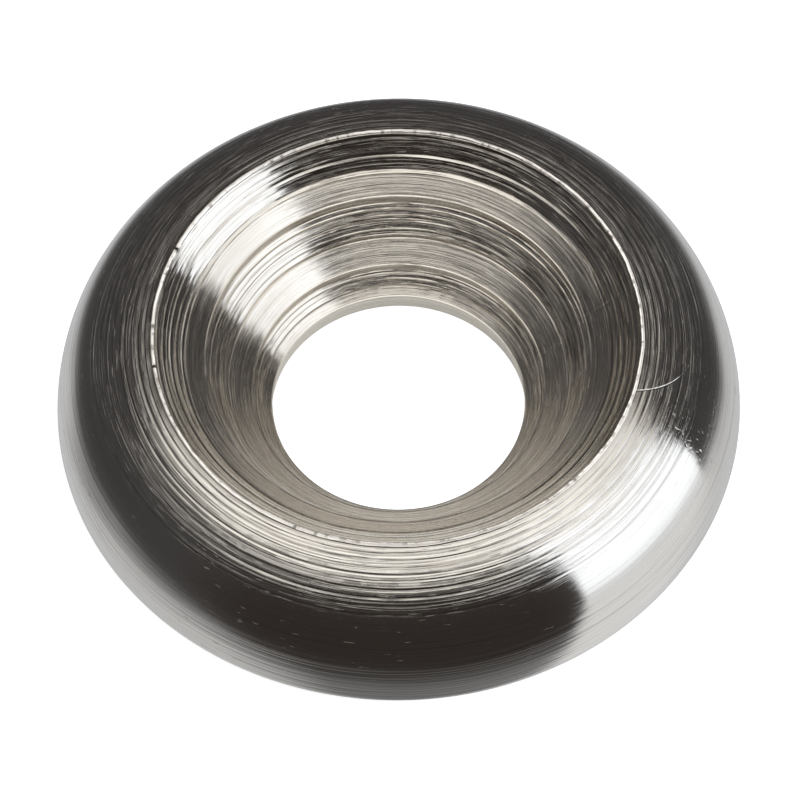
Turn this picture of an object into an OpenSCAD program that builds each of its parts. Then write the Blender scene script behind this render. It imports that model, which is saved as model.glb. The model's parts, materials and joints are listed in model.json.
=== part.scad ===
// Turned screw cup washer: one solid of revolution about Z, standing on its flat underside.
// All lengths are in millimetres and all angles in degrees.

/* [Outside] */
// Diameter across the widest circle, just above the underside
outer_d = 14.2; // [11.5:0.1:20]
// Height from the underside to the sharp crest
height = 3; // [2:0.1:4]
// Radius that breaks the bottom outer edge
foot_r = 0.3; // [0.1:0.05:0.8]

/* [Screw seat] */
// Diameter of the straight bore, a clearance hole for the screw
bore_d = 5.3; // [3.5:0.1:6.5]
// Height of the straight bore above the underside
bore_land = 0.4; // [0.2:0.05:0.8]
// Included angle of the conical seat under the screw head
seat_angle = 82; // [60:1:100]

/* [Mouth] */
// Depth of the flared mouth above the seat
mouth_depth = 0.58; // [0.2:0.02:0.9]
// Included angle of the flared mouth
mouth_angle = 97; // [70:1:115]

/* [Hidden] */
$fn = 128;

// Distance by which a cut runs past the face that it opens
cut_past = 1;
nickel_plate = [0.76, 0.74, 0.7];

outer_r = outer_d / 2;
bore_r = bore_d / 2;
mouth_flare = tan(mouth_angle / 2);

// The seat rises from the top of the bore to the mouth, and the mouth rises to the crest
mouth_z = height - mouth_depth;
mouth_r = bore_r + (mouth_z - bore_land) * tan(seat_angle / 2);
crest_r = mouth_r + mouth_depth * mouth_flare;

// The outside is one arc, upright at the widest circle, that runs through the crest.
// A wall wider than it is high gets a quarter circle with a flat rim inside it.
wall_w = outer_r - crest_r;
wall_h = height - foot_r;
dome_r = wall_w > wall_h ? wall_h : (wall_w * wall_w + wall_h * wall_h) / (2 * wall_w);
dome_centre_r = outer_r - dome_r;
cut_top = foot_r + dome_r + cut_past;

// Half section of the blank before the screw's way is cut: radius on X, height on Y
module blank_section() {
    intersection() {
        translate([dome_centre_r, foot_r]) circle(r = dome_r);
        translate([max(0, dome_centre_r), foot_r]) square([outer_r, dome_r]);
    }
    if (dome_centre_r > 0) translate([0, foot_r]) square([dome_centre_r, dome_r]);
    square([outer_r - foot_r, foot_r]);
    translate([outer_r - foot_r, foot_r]) circle(r = foot_r);
}

// Half section of the way for the screw: straight bore, conical seat and flared mouth.
// The mouth's slope runs on past the top of the blank, and so cuts the sharp crest.
module screw_way_section() {
    polygon([
        [0, -cut_past],
        [bore_r, -cut_past],
        [bore_r, bore_land],
        [mouth_r, mouth_z],
        [mouth_r + (cut_top - mouth_z) * mouth_flare, cut_top],
        [0, cut_top]
    ]);
}

module cup_washer() {
    color(nickel_plate)
        rotate_extrude()
            difference() {
                blank_section();
                screw_way_section();
            }
}

cup_washer();
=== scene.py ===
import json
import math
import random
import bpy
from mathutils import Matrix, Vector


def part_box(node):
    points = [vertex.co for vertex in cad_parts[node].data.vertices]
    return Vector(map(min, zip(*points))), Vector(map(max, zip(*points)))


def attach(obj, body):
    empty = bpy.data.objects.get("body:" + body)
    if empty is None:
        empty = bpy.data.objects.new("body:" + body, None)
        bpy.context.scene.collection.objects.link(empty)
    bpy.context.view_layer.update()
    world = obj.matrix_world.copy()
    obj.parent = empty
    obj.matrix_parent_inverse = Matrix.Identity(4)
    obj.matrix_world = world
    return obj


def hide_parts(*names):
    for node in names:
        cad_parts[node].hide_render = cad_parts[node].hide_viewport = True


bl_info = {
    "name": "Screw cup washer",
    "version": (1, 0, 0),
    "blender": (4, 5, 0),
    "location": "View3D > Sidebar > Cup washer",
    "description": "Turns a nickel-plated screw cup washer with its tool marks and sets up its studio",
    "category": "Object",
}

import bpy
from bpy.props import (
    FloatProperty,
    FloatVectorProperty,
    IntProperty,
    PointerProperty,
)
from mathutils import Matrix, Vector, noise

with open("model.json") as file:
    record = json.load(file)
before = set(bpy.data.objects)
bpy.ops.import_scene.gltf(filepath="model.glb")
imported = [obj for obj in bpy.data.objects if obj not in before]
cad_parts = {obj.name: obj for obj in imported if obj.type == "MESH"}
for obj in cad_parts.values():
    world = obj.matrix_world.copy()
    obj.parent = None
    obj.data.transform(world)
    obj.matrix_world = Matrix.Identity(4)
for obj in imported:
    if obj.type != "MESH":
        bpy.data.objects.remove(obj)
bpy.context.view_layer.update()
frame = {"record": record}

MM = 0.001
NODE = "cup_washer"
PIECE = "turned_washer"

# Faces that meet at a larger angle than this keep a crisp edge
CRISP_ANGLE = math.radians(6)

# Glow of the floor to the camera and to the metal, where 1 is white
FLOOR_SEEN = 0.85
FLOOR_MIRRORED = 0.27

# The CAD node's box and the sizes of its bore
NODE_LOW, NODE_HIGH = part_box(NODE)
BORE_DIMS = next(m["dims"] for m in frame["record"]["mounts"] if m["name"] == "screw_bore")


# Settings that a user would change

class WasherSizes(bpy.types.PropertyGroup):
    """Sizes of the washer's section"""

    outer_radius: FloatProperty(
        name="Outer radius",
        description="Radius of the widest circle, just above the underside",
        default=NODE_HIGH.x,
        unit="LENGTH",
        precision=5,
    )
    height: FloatProperty(
        name="Height",
        description="From the underside to the crest",
        default=NODE_HIGH.z,
        unit="LENGTH",
        precision=5,
    )
    bore_radius: FloatProperty(
        name="Bore radius",
        description="Radius of the straight bore",
        default=BORE_DIMS["r_mm"] * MM,
        unit="LENGTH",
        precision=5,
    )
    bore_land: FloatProperty(
        name="Bore land",
        description="Height of the straight bore above the underside",
        default=BORE_DIMS["length_mm"] * MM,
        unit="LENGTH",
        precision=5,
    )
    foot_radius: FloatProperty(
        name="Foot radius",
        description="Rounding of the bottom outer edge",
        default=0.3 * MM,
        unit="LENGTH",
        precision=5,
    )
    seat_angle: FloatProperty(
        name="Seat angle",
        description="Included angle of the conical seat",
        default=math.radians(82),
        subtype="ANGLE",
    )
    mouth_depth: FloatProperty(
        name="Mouth depth",
        description="Depth of the flared mouth above the seat",
        default=0.58 * MM,
        unit="LENGTH",
        precision=5,
    )
    mouth_angle: FloatProperty(
        name="Mouth angle",
        description="Included angle of the flared mouth",
        default=math.radians(97),
        subtype="ANGLE",
    )


class ToolMarks(bpy.types.PropertyGroup):
    """What the lathe tool left on the surface"""

    segments: IntProperty(
        name="Segments",
        description="Steps of the spin round the axis",
        default=420,
        min=24,
    )
    smooth_step: FloatProperty(
        name="Smooth step",
        description="Distance between points along the smooth lower outside",
        default=0.07 * MM,
        unit="LENGTH",
        precision=6,
    )
    riser_angle: FloatProperty(
        name="Riser angle",
        description="Angle between the seat's slope and the rise from one of its steps to the next",
        default=math.radians(39.0),
        subtype="ANGLE",
    )
    lip: FloatProperty(
        name="Lip",
        description="Width of the raised lip on the edge of a step",
        default=0.022 * MM,
        unit="LENGTH",
        precision=6,
    )
    edge_break: FloatProperty(
        name="Edge break",
        description="Width of the break of the edge under the bore",
        default=0.025 * MM,
        unit="LENGTH",
        precision=6,
    )
    grooved_dome: FloatProperty(
        name="Grooved outside",
        description="How far from the crest the grooves reach down the outside",
        default=1.5 * MM,
        unit="LENGTH",
        precision=6,
    )
    seed: IntProperty(
        name="Seed",
        description="Seed of the nicks in the burr",
        default=7,
    )
    burr: FloatProperty(
        name="Burr",
        description="Radius of the burr that runs along the crest",
        default=0.05 * MM,
        unit="LENGTH",
        precision=6,
    )
    burr_sink: FloatProperty(
        name="Burr sink",
        description="Depth of the burr's middle below the crest",
        default=0.03 * MM,
        unit="LENGTH",
        precision=6,
    )
    burr_flat: FloatProperty(
        name="Burr flat",
        description="Height of the burr's rubbed top above the crest",
        default=0.01 * MM,
        unit="LENGTH",
        precision=6,
    )
    ragged: FloatProperty(
        name="Ragged",
        description="Unevenness of the burr",
        default=0.012 * MM,
        unit="LENGTH",
        precision=6,
    )
    uneven: FloatProperty(
        name="Uneven",
        description="Unevenness of the rings on both sides of the burr",
        default=0.003 * MM,
        unit="LENGTH",
        precision=6,
    )
    nick: FloatProperty(
        name="Nick",
        description="Depth of the nicks in the burr",
        default=0.02 * MM,
        unit="LENGTH",
        precision=6,
    )


class PlateFinish(bpy.types.PropertyGroup):
    """Colours of the plated surface"""

    plate: FloatVectorProperty(
        name="Plate",
        description="Colour of the nickel plate",
        default=(0.72, 0.69, 0.635),
        subtype="COLOR",
        min=0.0,
        max=1.0,
    )
    thin: FloatVectorProperty(
        name="Thin plate",
        description="Colour of the thinner plate inside the cone, warmed by the brass under it",
        default=(0.725, 0.68, 0.61),
        subtype="COLOR",
        min=0.0,
        max=1.0,
    )
    # Painted highlight on the rubbed burr, and painted light on the near side of the seat
    bright: FloatVectorProperty(
        name="Bright burr",
        description="Colour of the rubbed burr and of the brightest plate",
        default=(0.92, 0.89, 0.85),
        subtype="COLOR",
        min=0.0,
        max=1.0,
    )
    # Colour of all the painted shade: corners, grooves, nicks, streaks, the far side of the cone and breaks
    # in the burr's bright line
    shaded: FloatVectorProperty(
        name="Dull plate",
        description="Colour of the grime, the stains and the dull streaks",
        default=(0.26, 0.23, 0.2),
        subtype="COLOR",
        min=0.0,
        max=1.0,
    )


class StudioSettings(bpy.types.PropertyGroup):
    """Camera and light of the studio"""

    view_elevation: FloatProperty(
        name="View elevation",
        description="Height of the camera above the horizon",
        default=math.radians(57.83),
        subtype="ANGLE",
    )
    view_distance: FloatProperty(
        name="View distance",
        description="Distance from the camera to the washer",
        default=284 * MM,
        unit="LENGTH",
    )
    view_roll: FloatProperty(
        name="View roll",
        description="Turn of the camera about its own axis",
        default=math.radians(-0.99),
        subtype="ANGLE",
    )
    ceiling: FloatProperty(
        name="Ceiling level",
        description="Brightness of the soft light overhead, where 1 is white",
        default=1.25,
        min=0.0,
    )
    lamp: FloatProperty(
        name="Lamp level",
        description="Brightness of the small lamp behind the overhead light, where 1 is white",
        default=1.35,
        min=0.0,
    )
    window: FloatProperty(
        name="Window level",
        description="Brightness of the tall window at the right, where 1 is white",
        default=1.43,
        min=0.0,
    )
    room: FloatVectorProperty(
        name="Room",
        description="Tone of the unlit room beside and behind the washer, which the metal mirrors",
        default=(0.056, 0.054, 0.056),
        subtype="COLOR",
        min=0.0,
        max=1.0,
    )
    room_front: FloatVectorProperty(
        name="Room in front",
        description="Tone of the unlit room in front of the washer, which the metal mirrors",
        default=(0.034, 0.028, 0.026),
        subtype="COLOR",
        min=0.0,
        max=1.0,
    )
    room_top: FloatVectorProperty(
        name="Room overhead",
        description="Tone of the room's ceiling round the overhead panel, which the metal mirrors",
        default=(0.6, 0.585, 0.56),
        subtype="COLOR",
        min=0.0,
        max=1.0,
    )
    sheet: FloatVectorProperty(
        name="Sheet",
        description="Tone of the pale sheet below the washer, which the metal mirrors",
        default=(0.875, 0.9, 0.945),
        subtype="COLOR",
        min=0.0,
        max=1.0,
    )
    floor: FloatVectorProperty(
        name="Floor",
        description="Colour of the floor",
        default=(0.86, 0.86, 0.86),
        subtype="COLOR",
        min=0.0,
        max=1.0,
    )


# Section of the washer, as the lathe tool follows it

# Steps of the seat from the bore up, as (width in millimetres, tilt in degrees, lip,
# fillet in the corner, lift in millimetres)
SEAT_STEPS = (
    (0.265, 18.0, 0.6, 0.0, 0.0), (0.115, 12.5, 0.2, 0.0, 0.0), (0.12, 12.5, 0.2, 0.0, 0.0),
    (0.21, 13.0, 0.3, 0.3, 0.0), (0.63, 17.0, 0.5, 0.6, 0.04), (0.125, 12.0, 0.2, 0.0, 0.0),
    (0.205, 11.5, 0.2, 0.3, 0.0), (0.09, 11.0, 0.2, 0.0, 0.0), (0.15, 12.0, 0.2, 0.0, 0.0),
    (0.295, 13.3, 0.5, 0.5, 0.0), (0.475, 17.2, 0.5, 0.0, 0.085),
)

# Grooves of the mouth from the seat up, as (share of the mouth's width, half width in millimetres,
# tilt in degrees)
MOUTH_GROOVES = (
    (0.086, 0.045, 13.0), (0.277, 0.045, 6.3), (0.467, 0.05, 12.0),
    (0.597, 0.025, 6.8), (0.726, 0.045, 7.8), (0.915, 0.05, 8.2),
)

# Grooves of the outside from the burr down, as (distance and half width in millimetres, tilt in degrees)
DOME_GROOVES = (
    (0.133, 0.045, 8.0), (0.278, 0.05, 8.0), (0.425, 0.03, 4.0),
    (0.583, 0.045, 7.5), (0.698, 0.03, 6.0), (0.888, 0.05, 7.0),
    (1.053, 0.04, 8.0), (1.213, 0.03, 4.0), (1.413, 0.04, 7.0),
)

# The clearest nicks of the burr, as (degrees round the axis, half width in degrees, share of the
# depth), and how many others there are
CLEAR_NICKS = ((-96.7, 0.5, 1.0), (-86.0, 0.5, 0.9))
OTHER_NICKS = 5


class Station:
    """A point of the section, its distance along the section and the painted shade that darkens it there"""

    def __init__(self, place, along, painted_shade):
        self.place = place
        self.along = along
        self.painted_shade = painted_shade


class Section:
    """The section's stations, added stretch by stretch from the bore to the underside"""

    def __init__(self, start):
        self.end = start
        self.length = 0.0
        self.stations = []

    def straight(self, end, cuts):
        """A straight stretch to end, with the metal on the right and cuts as (distance, height, grime)"""
        way = (end - self.end).normalized()
        facing = Vector((-way.y, way.x))
        for distance, height, painted_shade in cuts:
            place = self.end + way * distance + facing * height
            self.stations.append(Station(place, self.length + distance, painted_shade))
        self.length += (end - self.end).length
        self.end = end

    def arc(self, centre, radius, first, last, cuts):
        """A round stretch about centre, from one angle to a lesser one, with cuts as in a straight one"""
        for distance, height, painted_shade in cuts:
            angle = first - distance / radius
            facing = Vector((math.cos(angle), math.sin(angle)))
            place = centre + facing * (radius + height)
            self.stations.append(Station(place, self.length + distance, painted_shade))
        self.length += (first - last) * radius
        self.end = centre + Vector((math.cos(last), math.sin(last))) * radius


def even_cuts(length, count):
    """Points along a smooth stretch"""
    return [(length * i / count, 0.0, 0.0) for i in range(count)]


def seat_cuts(length, marks):
    """Steps that lie flatter than the seat, each with a lip on its edge and painted shade in its corner"""
    # Painted shade in each step's corner and on its riser
    corner_shade = 0.4
    riser_shade = 0.5
    climb = math.tan(marks.riser_angle)
    scale = length / sum(step[0] for step in SEAT_STEPS)
    steps = []
    for width, tilt, lip, fillet, lift in SEAT_STEPS:
        wide = width * scale
        slope = math.tan(math.radians(tilt))
        top = slope * wide / (1.0 + slope / climb) / 2 + lift * MM
        steps.append((wide, slope, lip, fillet, top))
    next_tops = [step[4] for step in steps[1:]] + [0.0]
    cuts = []
    place = 0.0
    for (wide, slope, lip, fillet, top), next_top in zip(steps, next_tops):
        tread = min(wide, (top + climb * wide - next_top) / (slope + climb))
        cuts.append((place, top + marks.lip * lip * 0.6, 0.0))
        cuts.append((place + marks.lip, top - slope * marks.lip, 0.0))
        cuts.append((place + tread - marks.lip, top - slope * (tread - marks.lip), 0.0))
        # A riser ends just short of the next lip, and a step that reaches nearly as far has none
        if tread < wide * 0.95:
            cuts.append((place + tread, top - slope * tread - marks.lip * fillet * 0.5, corner_shade))
            cuts.append((place + wide * 0.985, next_top - climb * wide * 0.015, riser_shade))
        place += wide
    return cuts


def groove_cuts(grooves, painted_shade, side):
    """Narrow grooves with sloping sides, as (place, half width, tilt), with painted shade on one side"""
    cuts = []
    for place, half, tilt in grooves:
        depth = math.tan(math.radians(tilt)) * half
        cuts.append((place - half, 0.0, 0.0))
        cuts.append((place, -depth, painted_shade * 0.4))
        cuts.append((place + half * 0.5 * side, -depth * 0.5, painted_shade))
        cuts.append((place + half, 0.0, 0.0))
    return sorted(cuts)


def mouth_cuts(length, marks):
    """A lip above the seat and the mouth's few clear grooves"""
    grooves = [(length * share, half * MM, tilt) for share, half, tilt in MOUTH_GROOVES]
    lip = [(0.0, marks.lip * 0.3, 0.0), (marks.lip, 0.0, 0.0)]
    groove_shade = 0.75
    return lip + groove_cuts(grooves, groove_shade, 1)


def burr_cuts(marks, first, turn, reach):
    """Points round the burr, whose top is rubbed flat at the given height above its middle"""
    count = 20
    least_sine = 0.01
    cuts = []
    for i in range(count):
        sine = max(math.sin(first - turn * i / count), least_sine)
        cuts.append((turn * marks.burr * i / count, min(0.0, reach / sine - marks.burr), 0.0))
    return cuts


def dome_cuts():
    """Painted shade beside the burr, and the clear grooves of the outside"""
    grooves = [(distance * MM, half * MM, tilt) for distance, half, tilt in DOME_GROOVES]
    burr_shade = 0.9
    groove_shade = 0.6
    return [(0.0, 0.0, burr_shade)] + groove_cuts(grooves, groove_shade, -1)


def washer_section(sizes, marks):
    """Stations of the whole section, and how far along it each stretch starts"""
    half_mouth = sizes.mouth_angle / 2
    mouth_z = sizes.height - sizes.mouth_depth
    mouth_r = sizes.bore_radius + (mouth_z - sizes.bore_land) * math.tan(sizes.seat_angle / 2)
    crest_r = mouth_r + sizes.mouth_depth * math.tan(half_mouth)
    wall_w = sizes.outer_radius - crest_r
    wall_h = sizes.height - sizes.foot_radius
    dome_r = (wall_w * wall_w + wall_h * wall_h) / (2 * wall_w)
    dome_centre = Vector((sizes.outer_radius - dome_r, sizes.foot_radius))
    dome_top = math.asin(wall_h / dome_r)

    # The burr is round and stands on the crest, between the mouth's slope and the dome
    crest = Vector((crest_r, sizes.height))
    mouth_facing = math.pi - half_mouth
    half_crest = (math.pi - mouth_facing + dome_top) / 2
    outward = (mouth_facing + dome_top) / 2
    burr_centre = crest - Vector((math.cos(outward), math.sin(outward))) * marks.burr_sink
    burr_lean = math.acos(marks.burr_sink * math.sin(half_crest) / marks.burr)
    burr_reach = marks.burr_sink * math.cos(half_crest) + marks.burr * math.sin(burr_lean)
    burr_turn = mouth_facing - dome_top + 2 * burr_lean

    bore_top = Vector((sizes.bore_radius, sizes.bore_land))
    mouth_start = Vector((mouth_r, mouth_z))
    mouth_end = crest - Vector((math.sin(half_mouth), math.cos(half_mouth))) * burr_reach
    dome_start = dome_top - burr_reach / dome_r
    dome_smooth = dome_start - marks.grooved_dome / dome_r
    smooth_length = dome_smooth * dome_r
    foot_centre = Vector((sizes.outer_radius - sizes.foot_radius, sizes.foot_radius))
    under_end = Vector((sizes.bore_radius, 0.0))
    break_start = under_end + Vector((marks.edge_break, 0.0))

    starts = {}
    section = Section(under_end)
    section.straight(bore_top, even_cuts(sizes.bore_land, 6))
    starts["seat"] = section.length
    section.straight(mouth_start, seat_cuts((mouth_start - bore_top).length, marks))
    starts["mouth"] = section.length
    section.straight(mouth_end, mouth_cuts((mouth_end - mouth_start).length, marks))
    starts["crest"] = section.length
    burr_first = mouth_facing + burr_lean
    burr_height = sizes.height + marks.burr_flat - burr_centre.y
    section.arc(burr_centre, marks.burr, burr_first, dome_top - burr_lean,
                burr_cuts(marks, burr_first, burr_turn, burr_height))
    starts["dome"] = section.length
    section.arc(dome_centre, dome_r, dome_start, dome_smooth, dome_cuts())
    starts["smooth"] = section.length
    section.arc(dome_centre, dome_r, dome_smooth, 0.0,
                even_cuts(smooth_length, round(smooth_length / marks.smooth_step)))
    starts["foot"] = section.length
    section.arc(foot_centre, sizes.foot_radius, 0.0, -math.pi / 2,
                even_cuts(sizes.foot_radius * math.pi / 2, 20))
    starts["underside"] = section.length
    section.straight(break_start, even_cuts((break_start - section.end).length, 8))
    section.straight(under_end, even_cuts(marks.edge_break, 1))
    starts["end"] = section.length
    return section.stations, starts


# Modelling by hand

def deselect_all():
    """Leaves nothing selected, in object mode"""
    if bpy.context.object and bpy.context.object.mode != "OBJECT":
        bpy.ops.object.mode_set(mode="OBJECT")
    bpy.ops.object.select_all(action="DESELECT")


def single_point(name, place):
    """A new mesh object with one vertex at place, in edit mode with that vertex selected"""
    deselect_all()
    bpy.ops.mesh.primitive_plane_add(size=MM, location=(0, 0, 0))
    piece = bpy.context.object
    piece.name = name
    piece.data.name = name
    bpy.ops.object.mode_set(mode="EDIT")
    bpy.ops.mesh.select_mode(type="VERT")
    bpy.ops.mesh.select_all(action="SELECT")
    bpy.ops.mesh.merge(type="COLLAPSE")
    bpy.ops.transform.translate(value=place)
    return piece


def draw_section(piece, stations):
    """Extrudes the piece's one vertex along the section and notes where each vertex lies and its painted
    shade
    """
    points = [Vector((station.place.x, 0.0, station.place.y)) for station in stations]
    for before, after in zip(points, points[1:] + points[:1]):
        bpy.ops.mesh.extrude_region_move(TRANSFORM_OT_translate={"value": after - before})
    bpy.ops.object.mode_set(mode="OBJECT")
    piece.data.attributes.new("along", "FLOAT", "POINT")
    piece.data.attributes.new("painted_shade", "FLOAT", "POINT")
    for i, station in enumerate(stations):
        piece.data.attributes["along"].data[i].value = station.along / MM
        piece.data.attributes["painted_shade"].data[i].value = station.painted_shade
    bpy.ops.object.mode_set(mode="EDIT")


def spin_section(segments):
    """Spins the section about the bore's axis into a closed body"""
    bpy.ops.mesh.select_all(action="SELECT")
    bpy.ops.mesh.spin(steps=segments, angle=2 * math.pi, center=(0, 0, 0), axis=(0, 0, 1))
    bpy.ops.mesh.select_all(action="SELECT")
    bpy.ops.mesh.remove_doubles(threshold=0.0005 * MM)
    bpy.ops.mesh.normals_make_consistent(inside=False)


def wear_burr(piece, marks, starts):
    """Makes the burr wander, swell, spread in front and break, and varies the rings on both its sides"""
    dice = random.Random(marks.seed)
    nicks = [(math.radians(place), math.radians(half), deep) for place, half, deep in CLEAR_NICKS]
    for _ in range(OTHER_NICKS):
        place = dice.uniform(-math.pi, math.pi)
        half = math.radians(dice.uniform(0.25, 0.7))
        nicks.append((place, half, dice.uniform(0.4, 1.0)))
    bpy.ops.object.mode_set(mode="OBJECT")
    along = piece.data.attributes["along"].data
    painted_shade = piece.data.attributes["painted_shade"].data
    facing = [vertex.normal.copy() for vertex in piece.data.vertices]
    reach = (starts["dome"] - starts["crest"]) / 2
    middle = (starts["dome"] + starts["crest"]) / 2
    for vertex in piece.data.vertices:
        distance = along[vertex.index].value * MM
        turn = math.atan2(vertex.co.x, vertex.co.y)
        out = Vector((math.sin(turn), math.cos(turn), 0.0))
        share = 1.0 - abs(distance - middle) / (reach * 1.2)
        if share > 0.0:
            # The burr's middle moves most and its two feet least
            wander = noise.noise(out * 9.0) + 0.8 * noise.noise(out * 25.0) + 0.6 * noise.noise(out * 60.0)
            swell = noise.noise(out * 14.0 + Vector((0.0, 0.0, 7.0))) + 0.8 * noise.noise(out * 30.0)
            move = out * wander * marks.ragged + Vector((0.0, 0.0, swell * marks.ragged * 0.7))
            for place, half, deep in nicks:
                away = (turn - place + math.pi) % math.tau - math.pi
                bite = deep * math.exp(-(away / half) ** 2)
                move.z -= marks.nick * bite
                # Painted shade darkens the nicks
                painted_shade[vertex.index].value = max(painted_shade[vertex.index].value, bite)
            # In front the burr is spread wider
            spread = max(0.0, -out.y) ** 3 * (0.7 + 0.5 * swell) * marks.burr
            move += out * (distance - middle) / reach * spread
            vertex.co += move * min(1.0, share * 1.6)
        elif starts["seat"] < distance < starts["smooth"]:
            # The rings waver a little, and inside the cone the painted shade is kept only on its far side
            spot = out * 3.0 + Vector((0.0, 0.0, distance / MM * 40.0))
            wave = noise.noise(spot) + 0.6 * noise.noise(spot * 5.0)
            if distance < starts["crest"]:
                painted_shade[vertex.index].value *= min(1.0, max(0.0, 3.0 * out.y - 1.7))
                wave *= 0.7 + 0.3 * out.y
            vertex.co += facing[vertex.index] * wave * marks.uneven


class WASHER_OT_turn(bpy.types.Operator):
    """Turn the washer from its section, with its tool marks, burr and nicks, and plate it"""

    bl_idname = "washer.turn"
    bl_label = "Turn the washer"
    bl_options = {"REGISTER", "UNDO"}

    def execute(self, context):
        sizes = context.scene.washer_sizes
        marks = context.scene.washer_marks
        stations, starts = washer_section(sizes, marks)
        piece = single_point(PIECE, (stations[0].place.x, 0.0, stations[0].place.y))
        draw_section(piece, stations)
        spin_section(marks.segments)
        wear_burr(piece, marks, starts)
        bpy.ops.object.shade_smooth_by_angle(angle=CRISP_ANGLE)
        piece.data.materials.append(nickel_plate(context.scene.washer_finish, starts))
        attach(piece, "root")
        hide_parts(NODE)
        return {"FINISHED"}


# Material of the plated surface

class NodeBench:
    """Short ways to add nodes to one tree"""

    def __init__(self, tree):
        self.tree = tree

    def add(self, kind, **settings):
        node = self.tree.nodes.new(kind)
        for key, value in settings.items():
            setattr(node, key, value)
        return node

    def feed(self, socket, value):
        """Links a node's output to the socket, or sets the socket's own value"""
        if isinstance(value, bpy.types.NodeSocket):
            self.tree.links.new(value, socket)
        else:
            socket.default_value = value

    def math(self, operation, first, second=0.0):
        node = self.add("ShaderNodeMath", operation=operation)
        self.feed(node.inputs[0], first)
        self.feed(node.inputs[1], second)
        return node.outputs["Value"]

    def vector_math(self, operation, first, second):
        node = self.add("ShaderNodeVectorMath", operation=operation)
        self.feed(node.inputs[0], first)
        self.feed(node.inputs[1], second)
        return node.outputs["Vector"]

    def between(self, value, low, high, to_low=0.0, to_high=1.0):
        """Rises smoothly from to_low to_high as value goes from low to high"""
        node = self.add("ShaderNodeMapRange", interpolation_type="SMOOTHSTEP")
        self.feed(node.inputs["Value"], value)
        self.feed(node.inputs["From Min"], low)
        self.feed(node.inputs["From Max"], high)
        self.feed(node.inputs["To Min"], to_low)
        self.feed(node.inputs["To Max"], to_high)
        return node.outputs["Result"]

    def noise(self, vector, detail=2.0, roughness=0.5):
        node = self.add("ShaderNodeTexNoise")
        self.feed(node.inputs["Vector"], vector)
        self.feed(node.inputs["Scale"], 1.0)
        self.feed(node.inputs["Detail"], detail)
        self.feed(node.inputs["Roughness"], roughness)
        return node.outputs["Fac"]

    def mix_colour(self, share, first, second):
        node = self.add("ShaderNodeMix", data_type="RGBA")
        self.feed(node.inputs[0], share)
        self.feed(node.inputs[6], first)
        self.feed(node.inputs[7], second)
        return node.outputs[2]

    def profile(self, value, length, stops):
        """A value that changes along the given length, from (place, value) stops"""
        node = self.add("ShaderNodeValToRGB")
        ramp = node.color_ramp
        while len(ramp.elements) < len(stops):
            ramp.elements.new(0.5)
        for element, (place, level) in zip(ramp.elements, stops):
            element.position = place / length
            element.color = (level, level, level, 1.0)
        self.feed(node.inputs["Fac"], self.math("DIVIDE", value, length))
        return node.outputs["Color"]


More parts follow.
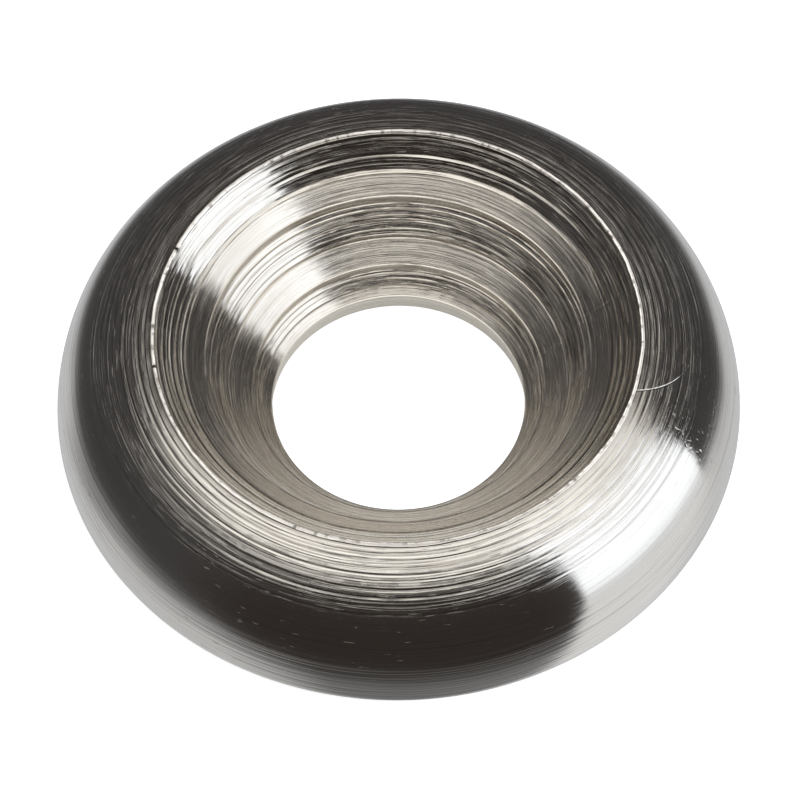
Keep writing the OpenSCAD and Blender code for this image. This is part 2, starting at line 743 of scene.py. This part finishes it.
def nickel_plate(finish, starts):
    """Bright nickel plate over turned brass, with round lines, hairlines, specks and scratches, painted
    shade and painted highlights
    """
    material = bpy.data.materials.new("nickel_plate")
    material.use_nodes = True
    bench = NodeBench(material.node_tree)
    shader = material.node_tree.nodes["Principled BSDF"]
    at = {name: place / MM for name, place in starts.items()}

    along = bench.add("ShaderNodeAttribute", attribute_name="along").outputs["Fac"]
    place = bench.add("ShaderNodeTexCoord").outputs["Object"]
    flat = bench.vector_math("MULTIPLY", place, (1.0, 1.0, 0.0))
    ring = bench.add("ShaderNodeVectorMath", operation="NORMALIZE")
    bench.feed(ring.inputs[0], flat)

    def lines(per_turn, per_mm, detail, roughness=0.5):
        """Noise that is drawn out round the axis: per_turn waves round it, per_mm across the lines"""
        across = bench.add("ShaderNodeCombineXYZ")
        bench.feed(across.inputs["Z"], bench.math("MULTIPLY", along, per_mm))
        reach = per_turn / math.tau
        spread = bench.vector_math("MULTIPLY", ring.outputs["Vector"], (reach, reach, reach))
        return bench.noise(bench.vector_math("ADD", spread, across.outputs["Vector"]), detail, roughness)

    # Lines, dashes and specks, the patches of painted shade, and the places where painted shade breaks the
    # burr's bright line
    coarse = lines(3.0, 8.0, 1.0)
    fine = lines(5.0, 26.0, 2.0, 0.55)
    hair = lines(10.0, 55.0, 1.0)
    dashes = lines(9.0, 36.0, 2.0, 0.6)
    flecks = lines(50.0, 60.0, 1.0)
    specks = lines(110.0, 24.0, 1.0)
    breaks = lines(170.0, 0.0, 2.0)
    shade_patches = lines(26.0, 15.0, 3.0, 0.6)

    # Scratches, as curves between two places in degrees round the axis and millimetres along the section
    axes = bench.add("ShaderNodeSeparateXYZ")
    bench.feed(axes.inputs["Vector"], place)
    turn = bench.math("DEGREES", bench.math("ARCTAN2", axes.outputs["X"], axes.outputs["Y"]))

    def scratch(first, last, radius, sag, half):
        """A narrow mark from first to last, bowed by sag, at about the given radius"""
        per_degree = radius * math.pi / 180.0
        step = Vector(((last[0] - first[0]) * per_degree, last[1] - first[1]))
        length = step.length
        step.normalize()
        over = bench.math("MULTIPLY", bench.math("SUBTRACT", turn, first[0]), per_degree)
        up = bench.math("SUBTRACT", along, first[1])
        ahead = bench.math("ADD", bench.math("MULTIPLY", over, step.x), bench.math("MULTIPLY", up, step.y))
        aside = bench.math("MULTIPLY", up, step.x)
        aside = bench.math("SUBTRACT", aside, bench.math("MULTIPLY", over, step.y))
        bow = bench.math("MULTIPLY", ahead, bench.math("SUBTRACT", length, ahead))
        aside = bench.math("SUBTRACT", aside, bench.math("MULTIPLY", bow, sag))
        mark = bench.between(bench.math("ABSOLUTE", aside), half, 0.0)
        mark = bench.math("MULTIPLY", mark, bench.between(ahead, -0.02, 0.05))
        return bench.math("MULTIPLY", mark, bench.between(ahead, length + 0.02, length - 0.05))

    long_scratch = scratch((94.0, 5.14), (106.3, 4.02), 5.6, 0.22, 0.024)
    side_scratch = scratch((-103.4, 4.95), (-103.9, 6.1), 6.6, 0.03, 0.03)
    cone_scratch = scratch((76.6, 3.85), (76.4, 0.7), 3.9, 0.0, 0.035)
    short_scratch = scratch((-2.3, 3.32), (-1.4, 3.08), 4.4, 0.0, 0.03)
    faint_share = 0.35
    faint = bench.math("MAXIMUM", side_scratch, bench.math("MAXIMUM", cone_scratch, short_scratch))
    scratches = bench.math("ADD", long_scratch, bench.math("MULTIPLY", faint, faint_share))

    # Pits on the right of the outside
    grain = bench.add("ShaderNodeTexNoise")
    bench.feed(grain.inputs["Vector"], place)
    bench.feed(grain.inputs["Scale"], 7.0 / MM)
    bench.feed(grain.inputs["Detail"], 1.0)
    spot = bench.math("MULTIPLY", bench.between(turn, 92.0, 103.0), bench.between(turn, 113.0, 108.0))
    spot = bench.math("MULTIPLY", spot, bench.between(along, 4.6, 5.1))
    spot = bench.math("MULTIPLY", spot, bench.between(along, 6.3, 5.8))
    pits = bench.math("MULTIPLY", bench.between(grain.outputs["Fac"], 0.5, 0.8), spot)

    # How strong the lines, dashes, streaks of painted shade and patches of painted shade are, how rough the
    # surface is, how thin the plate and where the burr lies, along the section
    line_stops = [
        (0.0, 0.3), (at["seat"], 0.2), (at["mouth"], 0.2), (at["mouth"] + 0.02, 0.07), (at["crest"], 0.07),
        (at["dome"], 0.13), (at["dome"] + 1.0, 0.13), (at["smooth"] + 0.2, 0.06), (at["smooth"] + 0.8, 0.1),
        (at["smooth"] + 1.2, 0.32), (at["foot"], 0.32),
        (at["underside"], 0.5), (at["end"], 0.5),
    ]
    dash_stops = [
        (0.0, 0.2), (at["seat"], 0.3), (at["mouth"], 0.3), (at["crest"], 0.3), (at["dome"], 0.6),
        (at["dome"] + 1.0, 0.6), (at["smooth"] + 0.2, 0.05), (at["foot"], 0.05),
        (at["underside"], 0.3), (at["end"], 0.3),
    ]
    rough_stops = [
        (0.0, 0.25), (at["seat"], 0.15), (at["mouth"], 0.15), (at["mouth"] + 0.02, 0.1),
        (at["crest"] - 0.02, 0.1), (at["crest"] + 0.02, 0.16), (at["dome"] - 0.02, 0.16),
        (at["dome"] + 0.02, 0.14), (at["dome"] + 1.0, 0.14),
        (at["smooth"], 0.12), (at["foot"], 0.13), (at["underside"], 0.4), (at["end"], 0.4),
    ]
    streak_stops = [
        (0.0, 0.2), (at["seat"], 0.15), (at["seat"] + 1.2, 0.15), (at["seat"] + 1.35, 0.6),
        (at["seat"] + 2.15, 0.6), (at["seat"] + 2.3, 0.2), (at["mouth"], 0.2), (at["crest"], 0.0),
        (at["dome"], 0.6), (at["dome"] + 0.5, 0.6), (at["dome"] + 0.7, 0.4), (at["smooth"] + 0.4, 0.15),
        (at["smooth"] + 1.2, 0.45), (at["foot"], 0.35), (at["end"], 0.2),
    ]
    # Strength of the patches of painted shade along the section
    shade_patch_stops = [
        (0.0, 0.1), (at["seat"], 0.2), (at["seat"] + 0.27, 0.2), (at["seat"] + 0.32, 0.75),
        (at["seat"] + 0.66, 0.75), (at["seat"] + 0.8, 0.35), (at["seat"] + 1.25, 0.4),
        (at["seat"] + 1.35, 0.9), (at["seat"] + 2.1, 0.9),
        (at["seat"] + 2.25, 0.35), (at["mouth"], 0.3), (at["mouth"] + 0.03, 0.7), (at["crest"], 0.7),
        (at["crest"] + 0.02, 0.0), (at["end"], 0.0),
    ]
    thin_stops = [
        (0.0, 1.0), (at["mouth"], 1.0), (at["mouth"] + 0.02, 0.6), (at["crest"], 0.6),
        (at["crest"] + 0.01, 0.0), (at["end"], 0.0),
    ]
    burr_stops = [
        (0.0, 0.0), (at["crest"], 0.0), (at["crest"] + 0.02, 1.0), (at["dome"] - 0.06, 1.0),
        (at["dome"] - 0.03, 0.0), (at["end"], 0.0),
    ]
    strength = bench.profile(along, at["end"], line_stops)
    dash_strength = bench.profile(along, at["end"], dash_stops)
    rough = bench.profile(along, at["end"], rough_stops)
    speck_rough = 0.22
    speck = bench.between(specks, 0.7, 0.8)
    speck = bench.math("MULTIPLY", speck, bench.between(along, at["dome"], at["smooth"]))
    rough = bench.math("ADD", rough, bench.math("MULTIPLY", speck, speck_rough))

    # Heights and depths in millimetres
    coarse_height = 0.028
    fine_height = 0.0125
    hair_height = 0.0055
    dash_height = 0.0032
    fleck_height = 0.003
    scratch_depth = 0.0055
    pit_depth = 0.0034
    height = bench.math("MULTIPLY", coarse, coarse_height)
    height = bench.math("ADD", height, bench.math("MULTIPLY", fine, fine_height))
    height = bench.math("ADD", height, bench.math("MULTIPLY", hair, hair_height))
    height = bench.math("MULTIPLY", height, strength)
    dash = bench.math("MULTIPLY", bench.between(dashes, 0.54, 0.63), dash_height)
    fleck = bench.math("MULTIPLY", bench.between(flecks, 0.66, 0.74), fleck_height)
    dash = bench.math("MULTIPLY", bench.math("ADD", dash, fleck), dash_strength)
    height = bench.math("ADD", height, dash)
    height = bench.math("SUBTRACT", height, bench.math("MULTIPLY", scratches, scratch_depth))
    height = bench.math("SUBTRACT", height, bench.math("MULTIPLY", pits, pit_depth))
    bump = bench.add("ShaderNodeBump")
    bench.feed(bump.inputs["Height"], height)
    bench.feed(bump.inputs["Distance"], MM)
    bench.feed(bump.inputs["Strength"], 1.0)

    # The plate is thinner inside the cone; painted light brightens the near side of the seat, and a painted
    # highlight brightens the rubbed burr
    thin = bench.profile(along, at["end"], thin_stops)
    colour = bench.mix_colour(thin, (*finish.plate, 1.0), (*finish.thin, 1.0))
    near_side_light = bench.between(axes.outputs["Y"], -0.6 * MM, -2.2 * MM, 0.0, 0.5)
    inside = bench.between(along, at["mouth"] + 0.05, at["mouth"] - 0.05)
    near_side_light = bench.math("MULTIPLY", near_side_light, inside)
    colour = bench.mix_colour(near_side_light, colour, (*finish.bright, 1.0))
    burr = bench.profile(along, at["end"], burr_stops)
    broken = bench.math("MULTIPLY", burr, bench.between(breaks, 0.52, 0.66))
    colour = bench.mix_colour(burr, colour, (*finish.bright, 1.0))

    # Painted shade in the corners, grooves and nicks, streaks of painted shade along the lines, and darker
    # breaks in the burr's painted highlight
    break_shade = 0.65
    painted_shade = bench.add("ShaderNodeAttribute", attribute_name="painted_shade").outputs["Fac"]
    painted_shade = bench.math("MULTIPLY", painted_shade, bench.between(fine, 0.3, 0.6, 0.3, 1.0))
    # Streaks of painted shade: darker dashes along the lines, and darker where the fine lines rise
    shade_dashes = bench.between(dashes, 0.56, 0.66)
    shade_dashes = bench.math("MULTIPLY", shade_dashes, bench.profile(along, at["end"], streak_stops))
    streaks = bench.math("MAXIMUM", shade_dashes, bench.math("MULTIPLY", bench.between(fine, 0.58, 0.7), strength))

    # Painted shade in brown patches on the far side of the cone, left out in a patch on its left
    far_side = bench.between(axes.outputs["Y"], -2.0 * MM, 1.9 * MM)
    clear = bench.math("MULTIPLY", bench.between(turn, -66.0, -58.0), bench.between(turn, -27.0, -36.0))
    far_side = bench.math("MULTIPLY", far_side, bench.math("SUBTRACT", 1.0, clear))
    shade_patch = bench.between(shade_patches, 0.5, 0.61)
    shade_patch = bench.math("MULTIPLY", shade_patch, bench.profile(along, at["end"], shade_patch_stops))
    shade_patch = bench.math("MULTIPLY", shade_patch, far_side)
    # All the painted shade is mixed in with one dark colour
    all_painted_shade = bench.math("MAXIMUM", painted_shade, streaks)
    all_painted_shade = bench.math("MAXIMUM", all_painted_shade, bench.math("MULTIPLY", broken, break_shade))
    all_painted_shade = bench.math("MAXIMUM", all_painted_shade, shade_patch)
    colour = bench.mix_colour(all_painted_shade, colour, (*finish.shaded, 1.0))

    # The round lines blur what the metal mirrors across them and leave it sharper along them
    quarter_turn = 0.25
    bench.feed(shader.inputs["Base Color"], colour)
    bench.feed(shader.inputs["Roughness"], rough)
    bench.feed(shader.inputs["Normal"], bump.outputs["Normal"])
    bench.feed(shader.inputs["Metallic"], 1.0)
    bench.feed(shader.inputs["Anisotropic"], 1.0)
    bench.feed(shader.inputs["Anisotropic Rotation"], quarter_turn)
    return material


# Studio

def soft_light(name, width, height, level, place, aim):
    """A panel light of the given brightness, where 1 is white, that the camera doesn't see"""
    lamp = bpy.data.lights.new(name, "AREA")
    lamp.shape = "RECTANGLE"
    lamp.size = width
    lamp.size_y = height
    lamp.energy = level * width * height * math.pi
    holder = bpy.data.objects.new(name, lamp)
    bpy.context.scene.collection.objects.link(holder)
    holder.location = place
    holder.rotation_mode = "QUATERNION"
    holder.rotation_quaternion = (Vector(aim) - Vector(place)).to_track_quat("-Z", "Y")
    holder.visible_camera = False


def studio_world(studio):
    """White to the camera; to the metal a dark room with a soft light, a window and a pale sheet below"""
    world = bpy.data.worlds.new("studio")
    world.use_nodes = True
    bpy.context.scene.world = world
    tree = world.node_tree
    tree.nodes.clear()
    bench = NodeBench(tree)
    way = bench.add("ShaderNodeSeparateXYZ")
    bench.feed(way.inputs["Vector"], bench.add("ShaderNodeTexCoord").outputs["Generated"])

    # Directions are in degrees from straight behind the washer, with plus to the right.
    # How far down the sheet starts, as a share of the way down, and how bright it is
    sheet_stops = [
        (-180, 0.44), (-152, 0.41), (-140, 0.38), (-125, 0.3), (-92, 0.24), (-68, 0.33), (-54, 0.36),
        (-42, 0.44), (-30, 0.5), (0, 0.62), (28, 0.46), (45, 0.36), (59, 0.36), (76, 0.24), (84, 0.22),
        (106, 0.14), (128, 0.04), (133, 0.42), (145, 0.45), (180, 0.44),
    ]
    level_stops = [
        (-180, 0.24), (-157, 0.26), (-140, 0.55), (-120, 0.74), (70, 0.78), (90, 1.0),
        (129, 1.0), (132, 0.3), (180, 0.24),
    ]
    turn = bench.math("DEGREES", bench.math("ARCTAN2", way.outputs["X"], way.outputs["Y"]))

    def round_about(stops):
        """A value that changes with the direction round the washer"""
        shifted = [(angle + 180, level) for angle, level in stops]
        return bench.profile(bench.math("ADD", turn, 180.0), 360.0, shifted)

    depth = bench.math("ADD", way.outputs["Z"], round_about(sheet_stops))
    share = bench.between(depth, 0.02, -0.14)

    # Left and in front the sheet gets its full level only farther down
    beside = bench.math("MULTIPLY", bench.between(turn, -80.0, -50.0), bench.between(turn, 132.0, 130.0))
    lower = bench.math("MAXIMUM", beside, bench.between(depth, -0.2, -0.34))
    share = bench.math("MULTIPLY", share, bench.math("ADD", bench.math("MULTIPLY", lower, 0.5), 0.5))
    sheet = bench.mix_colour(round_about(level_stops), (0.0, 0.0, 0.0, 1.0), (*studio.sheet, 1.0))

    # The room is darker in front and straight behind, and paler overhead
    front = bench.between(way.outputs["Y"], -0.3, -0.8)
    room = bench.mix_colour(front, (*studio.room, 1.0), (*studio.room_front, 1.0))
    behind = bench.between(way.outputs["Y"], 0.78, 0.9)
    behind = bench.math("MULTIPLY", behind, bench.between(way.outputs["Z"], 0.05, 0.3))
    room = bench.mix_colour(bench.math("MULTIPLY", behind, 0.8), room, (*studio.room_front, 1.0))
    top = bench.math("ADD", way.outputs["Z"], bench.math("MULTIPLY", way.outputs["Y"], 0.12))
    room = bench.mix_colour(bench.between(top, 0.78, 0.86), room, (*studio.room_top, 1.0))

    # The soft light overhead, in a flat plane above the washer, and a small lamp beyond it
    height = bench.math("MAXIMUM", way.outputs["Z"], 0.05)
    right = bench.math("DIVIDE", way.outputs["X"], height)
    back = bench.math("DIVIDE", way.outputs["Y"], height)
    light = bench.math("MULTIPLY", bench.between(right, -1.05, -0.4), bench.between(right, 1.35, 1.1))
    bow = bench.math("MULTIPLY", bench.math("MULTIPLY", right, right), 0.35)
    light = bench.math("MULTIPLY", light, bench.between(bench.math("SUBTRACT", back, bow), -0.555, -0.44))
    light = bench.math("MULTIPLY", light, bench.between(right, 0.9, 0.1, 0.5, 1.0))
    light = bench.math("MULTIPLY", light, bench.between(back, 0.55, 0.3))
    beyond = bench.math("MULTIPLY", bench.between(back, 0.82, 0.74), bench.between(back, 0.42, 0.5))
    beyond = bench.math("MULTIPLY", beyond, bench.between(bench.math("ABSOLUTE", right), 0.3, 0.2))
    level = studio.ceiling
    room = bench.mix_colour(light, room, (level, level * 0.99, level * 0.97, 1.0))
    level = studio.lamp
    room = bench.mix_colour(beyond, room, (level, level * 0.98, level * 0.97, 1.0))
    tone = bench.mix_colour(share, room, sheet)

    # The tall window at the right, whose sill and top rise toward the front
    leaning = bench.math("ADD", turn, bench.math("MULTIPLY", way.outputs["Z"], 2.6))
    sill = bench.math("SUBTRACT", way.outputs["Z"], bench.math("MULTIPLY", turn, 0.0044))
    pane = bench.math("MULTIPLY", bench.between(leaning, 80.4, 82.6), bench.between(turn, 130.2, 127.4))
    pane = bench.math("MULTIPLY", pane, bench.between(sill, -0.69, -0.57))
    brow = bench.math("SUBTRACT", way.outputs["Z"], bench.math("MULTIPLY", turn, 0.0055))
    pane = bench.math("MULTIPLY", pane, bench.between(brow, 0.24, 0.17))
    level = studio.window
    tone = bench.mix_colour(pane, tone, (level, level * 1.055, level * 1.15, 1.0))
    mirrored = bench.add("ShaderNodeBackground")
    bench.feed(mirrored.inputs["Color"], tone)
    seen = bench.add("ShaderNodeBackground")
    bench.feed(seen.inputs["Color"], (1.0, 1.0, 1.0, 1.0))
    mix = bench.add("ShaderNodeMixShader")
    bench.feed(mix.inputs["Fac"], bench.add("ShaderNodeLightPath").outputs["Is Camera Ray"])
    bench.feed(mix.inputs[1], mirrored.outputs["Background"])
    bench.feed(mix.inputs[2], seen.outputs["Background"])
    output = bench.add("ShaderNodeOutputWorld")
    bench.feed(output.inputs["Surface"], mix.outputs["Shader"])


def floor_paint(studio, radius):
    """Plain pale floor, white to the camera where no shadow falls"""
    material = bpy.data.materials.new("pale_floor")
    material.use_nodes = True
    tree = material.node_tree
    shader = tree.nodes["Principled BSDF"]
    shader.inputs["Base Color"].default_value = (*studio.floor, 1.0)
    shader.inputs["Roughness"].default_value = 1.0
    bench = NodeBench(tree)
    path = bench.add("ShaderNodeLightPath")
    glow = bench.math("MULTIPLY", path.outputs["Is Camera Ray"], FLOOR_SEEN)
    mirrored = bench.math("MULTIPLY", path.outputs["Is Glossy Ray"], FLOOR_MIRRORED)
    bench.feed(shader.inputs["Emission Strength"], bench.math("ADD", glow, mirrored))

    # The metal mirrors the floor inside the bore, in a slightly cool tone, and the room past the edge
    white = (1.0, 1.0, 1.0, 1.0)
    cool = (0.97, 1.02, 1.04, 1.0)
    tone = bench.mix_colour(path.outputs["Is Glossy Ray"], white, cool)
    bench.feed(shader.inputs["Emission Color"], tone)
    place = bench.add("ShaderNodeTexCoord").outputs["Object"]
    place = bench.vector_math("MULTIPLY", place, (1.0, 1.0, 0.0))
    away = bench.add("ShaderNodeVectorMath", operation="LENGTH")
    bench.feed(away.inputs[0], place)
    outside = bench.math("GREATER_THAN", away.outputs["Value"], radius)
    passed = bench.math("MULTIPLY", outside, path.outputs["Is Glossy Ray"])
    mix = bench.add("ShaderNodeMixShader")
    bench.feed(mix.inputs["Fac"], passed)
    bench.feed(mix.inputs[1], shader.outputs["BSDF"])
    bench.feed(mix.inputs[2], bench.add("ShaderNodeBsdfTransparent").outputs["BSDF"])
    bench.feed(tree.nodes["Material Output"].inputs["Surface"], mix.outputs["Shader"])
    return material


class WASHER_OT_stage(bpy.types.Operator):
    """Set up the floor, the soft light, the room and the camera"""

    bl_idname = "washer.stage"
    bl_label = "Set up the studio"
    bl_options = {"REGISTER", "UNDO"}

    def execute(self, context):
        studio = context.scene.washer_studio
        sizes = context.scene.washer_sizes
        deselect_all()
        bpy.ops.mesh.primitive_plane_add(size=3.0, location=(0, 0, 0))
        floor = context.object
        floor.name = "floor"
        floor.data.materials.append(floor_paint(studio, sizes.outer_radius - sizes.foot_radius))
        floor.visible_shadow = False
        soft_light(
            "overhead_panel", width=0.8, height=0.5, level=0.15,
            place=(0.205, -0.06, 0.5), aim=(0.205, -0.06, 0.0),
        )
        studio_world(studio)
        self.set_camera(context, studio, sizes)
        context.scene.view_settings.view_transform = "Standard"
        return {"FINISHED"}

    def set_camera(self, context, studio, sizes):
        """A long lens that looks down on the washer"""
        image = 800.0
        pixels_per_radius = 341.3
        centre_pixel = Vector((398.7, 405.5))
        lens = bpy.data.cameras.new("camera")
        holder = bpy.data.objects.new("camera", lens)
        context.scene.collection.objects.link(holder)
        seen_width = image / pixels_per_radius * sizes.outer_radius
        lens.sensor_fit = "HORIZONTAL"
        lens.sensor_width = 36.0
        lens.lens = lens.sensor_width * studio.view_distance / seen_width
        back = Vector((0.0, -math.cos(studio.view_elevation), math.sin(studio.view_elevation)))
        turn = (-back).to_track_quat("-Z", "Y").to_matrix().to_4x4()
        turn = turn @ Matrix.Rotation(studio.view_roll, 4, "Z")
        pixel = sizes.outer_radius / pixels_per_radius
        slide = Vector(((image / 2 - centre_pixel.x) * pixel, (centre_pixel.y - image / 2) * pixel, 0.0))
        target = Vector((0.0, 0.0, sizes.foot_radius))
        place = target + back * studio.view_distance + turn.to_3x3() @ slide
        holder.matrix_world = Matrix.Translation(place) @ turn
        context.scene.camera = holder


class WASHER_PT_panel(bpy.types.Panel):
    """Sizes, finish and studio of the cup washer"""

    bl_idname = "WASHER_PT_panel"
    bl_label = "Cup washer"
    bl_space_type = "VIEW_3D"
    bl_region_type = "UI"
    bl_category = "Cup washer"

    def draw(self, context):
        layout = self.layout
        for group in ("washer_sizes", "washer_marks", "washer_finish", "washer_studio"):
            settings = getattr(context.scene, group)
            box = layout.box()
            for key in settings.bl_rna.properties.keys():
                if key not in {"rna_type", "name"}:
                    box.prop(settings, key)
        layout.operator("washer.turn")
        layout.operator("washer.stage")


CLASSES = (
    WasherSizes,
    ToolMarks,
    PlateFinish,
    StudioSettings,
    WASHER_OT_turn,
    WASHER_OT_stage,
    WASHER_PT_panel,
)


def register():
    for cls in CLASSES:
        bpy.utils.register_class(cls)
    bpy.types.Scene.washer_sizes = PointerProperty(type=WasherSizes)
    bpy.types.Scene.washer_marks = PointerProperty(type=ToolMarks)
    bpy.types.Scene.washer_finish = PointerProperty(type=PlateFinish)
    bpy.types.Scene.washer_studio = PointerProperty(type=StudioSettings)


def unregister():
    del bpy.types.Scene.washer_studio
    del bpy.types.Scene.washer_finish
    del bpy.types.Scene.washer_marks
    del bpy.types.Scene.washer_sizes
    for cls in reversed(CLASSES):
        bpy.utils.unregister_class(cls)


def main():
    register()
    bpy.ops.washer.turn()
    bpy.ops.washer.stage()


if __name__ == "__main__":
    main()
